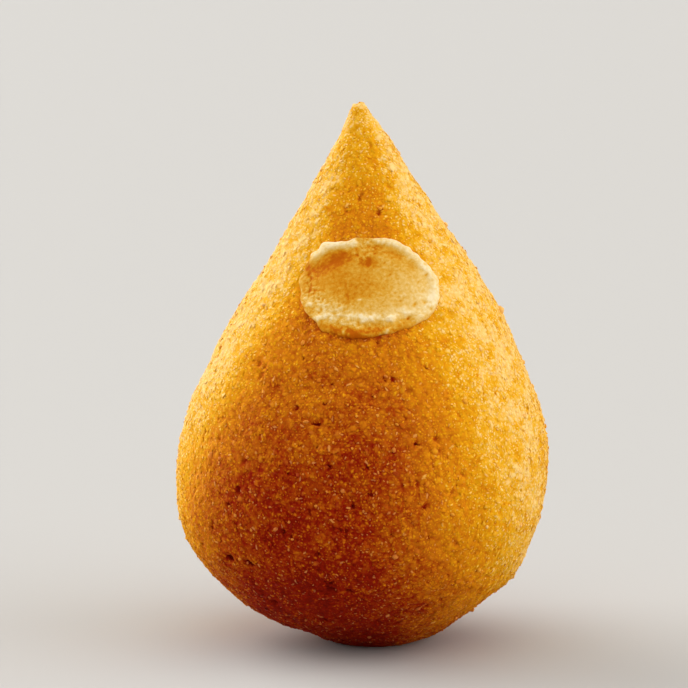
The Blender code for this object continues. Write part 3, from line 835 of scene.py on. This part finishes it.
cheese = {
    "cells": 180,                   # of the grid that is drawn out into the disc, each way
    "sunk": 0.06 * mm,
    "thickness": 0.50 * mm,
    "thinnest": 0.10 * mm,
    "edgeShares": (0.55, 0.92),     # between these the middle's thickness goes over into the edge's
    "ridgeShare": 0.915,
    "roundEdge": 0.955,             # from here on the face rounds off
    "edgeFace": 0.25,               # of the height is left at the very edge
    # direction in degrees, thickness of the edge and height of the ridge on it in mm, the ridge's width as
    # a share of the radius and how much creamier it is, partly a painted highlight on the ridges and, below 0
    # on the lower edge, partly painted shade
    "rim": (
        (-180, 0.20, 0.06, 0.06, 0.00), (-160, 0.22, 0.08, 0.06, -0.05), (-140, 0.28, 0.08, 0.06, -0.16),
        (-115, 0.40, 0.12, 0.07, -0.38), (-90, 0.48, 0.14, 0.07, -0.36), (-65, 0.42, 0.14, 0.07, -0.10),
        (-45, 0.36, 0.15, 0.06, -0.06), (-25, 0.36, 0.24, 0.06, 0.14), (0, 0.40, 0.34, 0.075, 0.30),
        (25, 0.42, 0.38, 0.09, 0.44), (45, 0.42, 0.38, 0.095, 0.52), (65, 0.35, 0.28, 0.08, 0.42),
        (82, 0.30, 0.20, 0.07, 0.36), (90, 0.16, 0.04, 0.06, 0.06), (101, 0.16, 0.02, 0.06, 0.00),
        (108, 0.30, 0.24, 0.07, 0.44), (125, 0.34, 0.31, 0.085, 0.58), (148, 0.29, 0.24, 0.062, 0.44),
        (160, 0.21, 0.12, 0.06, 0.08), (180, 0.20, 0.06, 0.06, 0.00),
    ),
    "ragged": (0.03, 0.05),         # how far the outline strays, as a share of the radius, right and left
    "raggedSides": (-0.2, 0.6),     # where the right's share ends and the left's is whole
    "raggedPower": 4,               # the straying dies out this fast from the edge inwards
    "raggedSize": 1.3 * mm,
    "strayed": 0.45,                # how far the places below stray, in mm
    "strayedSize": 1.1 * mm,
    # swellings and hollows: place, half width, half height, tilt in degrees, height in mm
    "swellings": (
        (-6.0, 4.2, 3.2, 1.3, 22, -0.24), (0.6, -6.2, 2.3, 0.7, 0, -0.26), (5.8, -5.2, 0.7, 0.6, 0, -0.25),
        (4.8, 5.4, 2.6, 0.9, -18, -0.18), (-7.4, -3.0, 3.2, 1.6, -8, 0.10), (7.4, -1.0, 2.4, 3.0, 0, 0.08),
        (-2.6, -6.6, 1.5, 0.6, 0, 0.12), (2.6, -2.6, 2.0, 1.4, 0, 0.06), (-10.0, 3.1, 0.8, 0.8, 0, -0.15),
        (-0.2, 4.3, 1.1, 0.6, 0, -0.10), (1.2, 6.9, 0.9, 0.7, 0, -0.10),
    ),
    # wrinkles: height and half width in mm, how much creamier, partly a painted highlight on the lower
    # streak, then the places that they pass through
    "wrinkles": (
        (0.08, 0.60, 0.08, ((-8.9, -5.7), (-7.8, -5.2), (-6.3, -4.7), (-5.0, -5.1), (-3.8, -5.6),
                            (-2.6, -5.0), (-1.4, -4.7), (-0.2, -5.1), (1.4, -5.1), (3.0, -5.3))),
        (0.10, 0.50, 0.12, ((3.0, -5.3), (3.7, -4.4), (5.0, -3.9), (6.4, -4.0), (7.6, -4.5), (8.0, -5.2),
                            (7.2, -5.9))),
        (0.07, 0.34, 0.22, ((-4.0, -7.3), (-2.6, -7.6), (-0.6, -7.7), (1.2, -7.6), (2.6, -7.1), (3.4, -6.5))),
        (0.05, 0.40, 0.12, ((-10.4, -2.6), (-8.7, -3.2), (-7.0, -3.0), (-5.4, -3.6), (-4.2, -3.4))),
        (-0.09, 0.20, -0.12, ((-9.7, 2.0), (-9.8, 0.6), (-9.6, -1.0))),
        (-0.05, 0.14, -0.08, ((2.2, -1.8), (1.7, -2.8), (1.0, -3.8))),
        (-0.05, 0.14, -0.08, ((-4.8, -2.2), (-4.5, -3.3), (-4.8, -4.4))),
    ),
    "wrinkleUnevenness": 2.0,
    # amber stains, partly painted shade in the hollows under the rim and on the lower lip; cream patches,
    # partly a painted highlight along the lower streak and on the lower left; and last six small near-white
    # painted glints: place, half width, half height, tilt in degrees, how much creamier
    "stainsAndGlints": (
        (-6.2, 4.1, 4.0, 1.6, 22, -0.37), (-4.4, 5.6, 1.5, 1.1, 10, -0.18), (-10.2, 3.1, 1.0, 0.9, 0, -0.33),
        (-8.7, 2.7, 2.2, 1.1, 20, -0.06), (1.2, 6.9, 0.9, 0.7, 0, -0.30), (-0.2, 4.3, 1.3, 0.8, 0, -0.40),
        (-1.9, 6.3, 0.6, 0.5, 0, -0.22), (-0.7, 8.0, 1.3, 0.7, 0, -0.08), (4.6, 5.4, 2.6, 0.9, -15, -0.24),
        (6.6, 3.7, 0.9, 1.2, 0, -0.18), (-3.0, 0.6, 4.2, 2.6, -10, -0.20), (-8.8, -0.4, 1.6, 1.2, 0, -0.14),
        (7.4, -0.8, 3.2, 4.4, 0, 0.20), (-7.7, -3.0, 3.2, 1.5, -8, 0.16), (-2.4, 6.9, 0.8, 1.2, 0, 0.12),
        (1.5, -3.0, 4.0, 1.4, 0, 0.12), (-6.8, -5.0, 2.8, 0.8, 10, 0.26), (-0.2, -4.9, 4.2, 0.8, 0, 0.34),
        (5.6, -4.1, 2.4, 0.55, 0, 0.20), (0.7, -6.2, 2.3, 0.7, 0, -0.14), (-4.8, -6.9, 2.0, 0.5, -8, -0.08),
        (5.8, -5.2, 0.7, 0.55, 0, -0.16), (4.4, -7.0, 1.6, 0.6, 25, -0.12), (9.4, -5.0, 0.9, 0.8, 0, -0.10),
        (-3.6, -2.1, 1.1, 1.0, 0, -0.18), (9.2, -2.3, 1.6, 1.8, 0, 0.26), (-2.0, -7.6, 1.5, 0.5, 0, -0.32),
        (2.7, -7.3, 1.1, 0.5, 0, 0.06), (-1.4, -4.85, 0.24, 0.18, 0, 0.9), (-7.8, -5.25, 0.4, 0.26, 20, 0.4),
        (-1.5, -2.0, 0.18, 0.16, 0, 0.5), (9.4, -2.0, 0.35, 0.35, 0, 0.3), (-3.9, -7.5, 0.3, 0.2, 0, 0.4),
        (2.9, -7.2, 0.26, 0.2, 0, 0.4),
    ),
    # pores: place, width and depth in mm
    "pores": (
        (6.9, -3.0, 0.70, 0.10), (8.5, -2.6, 0.65, 0.09), (8.2, -0.8, 0.60, 0.07), (8.7, 1.8, 0.50, 0.07),
        (8.6, 3.3, 0.55, 0.08), (7.4, 0.6, 0.45, 0.05), (5.9, -5.2, 0.55, 0.12), (4.6, -2.4, 0.45, 0.05),
        (-2.0, 5.4, 0.45, 0.07), (0.6, 5.6, 0.45, 0.07), (2.2, 4.0, 0.40, 0.05), (-7.9, -2.05, 0.30, 0.14),
        (-5.2, -4.2, 0.40, 0.07), (3.2, 2.2, 0.40, 0.05), (9.6, -3.9, 0.45, 0.07),
    ),
    "poreCream": -0.30,
    # how uneven it is: mottled all over, and gritty, most so in the places given
    "patterns": ((2.2 * mm, 2.0, 0.5, 0.16), (0.40 * mm, 3.0, 0.6, 0.38)),
    "grain": (0.40 * mm, 3.0, 0.6, 0.03 * mm),
    "gritSize": 0.5 * mm,
    "gritHeight": 0.07 * mm,
    "fineGrit": (2.3, 0.6),         # how many times finer the fine grit is, and how high beside the other
    "gritCream": 0.34,
    "gritEverywhere": 0.45,
    "grit": ((-7.6, -3.0, 3.4, 1.7, -8, 0.8), (-0.4, 6.6, 2.0, 1.8, 0, 0.6), (-9.6, 0.2, 1.2, 2.4, 0, 0.5),
             (-3.4, -6.4, 2.2, 0.9, 0, 0.5), (1.6, -6.8, 2.0, 0.8, 0, 0.4), (9.0, -3.6, 1.2, 1.6, 0, 0.3),
             (-2.0, -5.0, 7.0, 0.8, 0, 0.4)),
    "cream": 0.44,
    # how creamy it is, 0 to 1, and its colour there
    "stages": ((0.0, "#B85A04"), (0.12, "#C26D0A"), (0.24, "#CE8514"), (0.42, "#D99F34"), (0.6, "#E3B65F"),
               (0.8, "#EDCD8C"), (1.0, "#F8E2B4")),
    "roughness": 0.45,
    "specular": 0.02,
}


# Soft, moist cheese: cream where it is thick and matt, amber where it is rubbed thin over the crust. Its
# creaminess also carries painted highlights, shade and glints.
def softCheese(name):
    c = cheese
    material, tree, inputs = makeMaterial(name, {
        "Roughness": c["roughness"], "Specular IOR Level": c["specular"]})
    cream = addNode(tree, "ShaderNodeAttribute", attribute_name="cream").outputs["Fac"]
    colour = addNode(tree, "ShaderNodeValToRGB", {"Fac": mottle(tree, cream, c["patterns"])})
    setStages(colour.color_ramp.elements, c["stages"])
    tree.links.new(colour.outputs["Color"], inputs["Base Color"])
    roughen(tree, inputs, *c["grain"])
    return material


def spotAt(x, y, spot):
    spotX, spotY, halfWidth, halfHeight, tilt, amount = spot
    turn = math.radians(tilt)
    along = (x - spotX) * math.cos(turn) + (y - spotY) * math.sin(turn)
    across = (y - spotY) * math.cos(turn) - (x - spotX) * math.sin(turn)
    return amount * math.exp(-(along / halfWidth) ** 2 - (across / halfHeight) ** 2)


def lineDistance(x, y, line):
    nearest = math.inf
    for (startX, startY), (endX, endY) in zip(line, line[1:]):
        stepX, stepY = endX - startX, endY - startY
        share = ((x - startX) * stepX + (y - startY) * stepY) / (stepX * stepX + stepY * stepY)
        share = min(1.0, max(0.0, share))
        nearest = min(nearest, math.hypot(x - startX - share * stepX, y - startY - share * stepY))
    return nearest


def rimAt(angle):
    turn = math.degrees(angle)
    for low, high in zip(cheese["rim"], cheese["rim"][1:]):
        if turn <= high[0]:
            share = easeBetween(low[0], high[0], turn)
            return [a + (b - a) * share for a, b in zip(low[1:], high[1:])]
    return cheese["rim"][-1][1:]


# The height of the cheese over the crust and how creamy it is there, with painted highlights, shade and
# glints in that
def cheeseAt(x, y, share, angle, point):
    c = cheese
    edge, ridge, width, edgeCream = rimAt(angle)
    over = easeBetween(*c["edgeShares"], share)
    rim = math.exp(-((share - c["ridgeShare"]) / width) ** 2)
    height = c["thickness"] / mm + (edge - c["thickness"] / mm) * over + ridge * rim
    cream = c["cream"] + edgeCream * (1.0 if share > c["ridgeShare"] else rim)
    stray = noise.noise_vector(point / c["strayedSize"]) * c["strayed"]
    x += stray.x
    y += stray.z
    height += sum(spotAt(x, y, spot) for spot in c["swellings"])
    # the stains and patches, with painted shade, highlights and glints among them
    cream += sum(spotAt(x, y, spot) for spot in c["stainsAndGlints"])
    uneven = 1.0 + c["wrinkleUnevenness"] * stray.y / c["strayed"]
    for lift, halfWidth, creamier, line in c["wrinkles"]:
        fold = math.exp(-(lineDistance(x, y, line) / halfWidth) ** 2) * uneven
        height += lift * fold
        cream += creamier * fold
    for poreX, poreY, wide, depth in c["pores"]:
        pore = math.exp(-(math.hypot(x - poreX, y - poreY) / (0.5 * wide)) ** 2)
        height -= depth * pore
        cream += c["poreCream"] * pore
    grit = min(1.0, c["gritEverywhere"] + sum(spotAt(x, y, spot) for spot in c["grit"]))
    finer, fineShare = c["fineGrit"]
    grain = noise.noise(point / c["gritSize"]) + fineShare * noise.noise(finer * point / c["gritSize"])
    height += grain * grit * c["gritHeight"] / mm
    cream += grain * grit * c["gritCream"]
    return max(c["thinnest"], height * mm), min(1.0, max(0.0, cream))


# A vertex of the disc and how creamy it is there. The grid's x and y go from -1 to 1.
def discVertex(x, y, onFace):
    c = cheese
    roundX = x * math.sqrt(1.0 - y * y / 2.0)
    roundY = y * math.sqrt(1.0 - x * x / 2.0)
    share = min(1.0, math.hypot(roundX, roundY))
    angle = math.atan2(roundY, roundX)
    edgeSpot = Vector((math.cos(angle), math.sin(angle), 0.0)) * disc["halfHeight"] / c["raggedSize"]
    right, left = c["ragged"]
    ragged = right + (left - right) * easeBetween(*c["raggedSides"], -math.cos(angle))
    reach = share * discReach(angle) * (1.0 + ragged * noise.noise(edgeSpot) * share ** c["raggedPower"])
    across = reach * math.cos(angle)
    along = reach * math.sin(angle)
    arc = discArc + along
    azimuth = disc["azimuth"] + across / sectionAt(arc)[0]
    if not onFace:
        return surfaceAt(azimuth, arc, -c["sunk"])[0], c["cream"]
    point = surfaceAt(azimuth, arc)[0]
    height, cream = cheeseAt(across / mm, along / mm, share, angle, point)
    fall = max(0.0, (share - c["roundEdge"]) / (1.0 - c["roundEdge"]))
    rounded = c["edgeFace"] + (1.0 - c["edgeFace"]) * math.sqrt(max(0.0, 1.0 - fall * fall))
    return surfaceAt(azimuth, arc, height * rounded)[0], cream


def makeDisc():
    cells = cheese["cells"]
    bm = bmesh.new()
    creams = []
    grid = {}
    for side in (1, 0):         # the face, then the back, which shares the face's edge
        for j in range(cells + 1):
            for i in range(cells + 1):
                if side == 0 and (i in (0, cells) or j in (0, cells)):
                    grid[side, i, j] = grid[1, i, j]
                    continue
                place, cream = discVertex(2.0 * i / cells - 1.0, 2.0 * j / cells - 1.0, side == 1)
                grid[side, i, j] = bm.verts.new(place)
                creams.append(cream)
    for side in (1, 0):
        for j in range(cells):
            for i in range(cells):
                corners = [grid[side, i + a, j + b] for a, b in ((0, 0), (1, 0), (1, 1), (0, 1))]
                bm.faces.new(corners if side else corners[::-1])
    bmesh.ops.recalc_face_normals(bm, faces=bm.faces[:])
    mesh = makeMesh("cheeseDisc", bm)
    addValues(mesh, {"cream": creams})
    mesh.shade_smooth()
    return mesh


discPiece = addPiece("cheeseDisc", makeDisc(), softCheese("soft, moist cheese"))
print("cheese", len(discPiece.data.polygons), "faces")


# Floor, light and camera

studio = {
    "floorSize": 9.0,
    "floorColour": "#BEBBB6",
    "floorRoughness": 0.8,
    "floorSpecular": 0.2,
    "worldColour": "#FFFFFF",
    "worldStrength": 0.44,
    # softboxes so far off that they light the floor evenly. Name: azimuth from the front towards +X,
    # elevation, how wide they look, all in degrees, strength
    "lamps": {
        "rightSoftbox": (78, 13, 80, 2.3),
        "leftRim": (-122, 19, 70, 3.45),
        "top": (0, 75, 80, 1.15),
    },
    "lampDistance": 0.6,
    "cameraDistance": 0.55,
    "cameraElevation": math.radians(8.0),
    "cameraTarget": Vector((-2.9 * mm, 0.0, 47.0 * mm)),
    "frameWidth": 107.7 * mm,
    "sensor": 36.0,
    "nearest": 0.01,
    "furthest": 20.0,
}


def onSphere(azimuth, elevation, distance):
    flat = math.cos(elevation) * distance
    return Vector((math.sin(azimuth) * flat, -math.cos(azimuth) * flat, math.sin(elevation) * distance))


def makeStudio():
    s = studio
    bm = bmesh.new()
    bmesh.ops.create_grid(bm, x_segments=2, y_segments=2, size=s["floorSize"] / 2)
    # Matt painted board: pale and even, so that it shows soft shadows and mirrors nothing
    board = makeMaterial("matt painted board", {
        "Base Color": toLinear(s["floorColour"]), "Roughness": s["floorRoughness"],
        "Specular IOR Level": s["floorSpecular"]})[0]
    addPiece("floor", makeMesh("floor", bm), board)

    world = bpy.data.worlds.new("studio")
    world.use_nodes = True
    background = world.node_tree.nodes["Background"]
    background.inputs["Color"].default_value = toLinear(s["worldColour"])
    background.inputs["Strength"].default_value = s["worldStrength"]
    bpy.context.scene.world = world

    for name, (azimuth, elevation, width, strength) in s["lamps"].items():
        data = bpy.data.lights.new(name, "SUN")
        data.angle = math.radians(width)
        data.energy = strength
        lamp = bpy.data.objects.new(name, data)
        lamp.location = onSphere(math.radians(azimuth), math.radians(elevation), s["lampDistance"])
        lamp.rotation_euler = (-lamp.location).to_track_quat("-Z", "Y").to_euler()
        bpy.context.scene.collection.objects.link(lamp)


def makeCamera():
    s = studio
    data = bpy.data.cameras.new("camera")
    data.sensor_width = s["sensor"]
    data.lens = s["sensor"] * s["cameraDistance"] / s["frameWidth"]
    data.clip_start = s["nearest"]
    data.clip_end = s["furthest"]
    camera = bpy.data.objects.new("camera", data)
    camera.location = s["cameraTarget"] + onSphere(0.0, s["cameraElevation"], s["cameraDistance"])
    camera.rotation_euler = (s["cameraTarget"] - camera.location).to_track_quat("-Z", "Y").to_euler()
    bpy.context.scene.collection.objects.link(camera)
    bpy.context.scene.camera = camera
    bpy.context.scene.view_settings.view_transform = "Standard"


makeStudio()
makeCamera()
print("studio ready")


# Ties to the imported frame

for piece in [crustPiece] + crumbPieces:
    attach(piece, "root")
    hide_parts("crust")
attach(discPiece, "root")
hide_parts("cheese_disc")
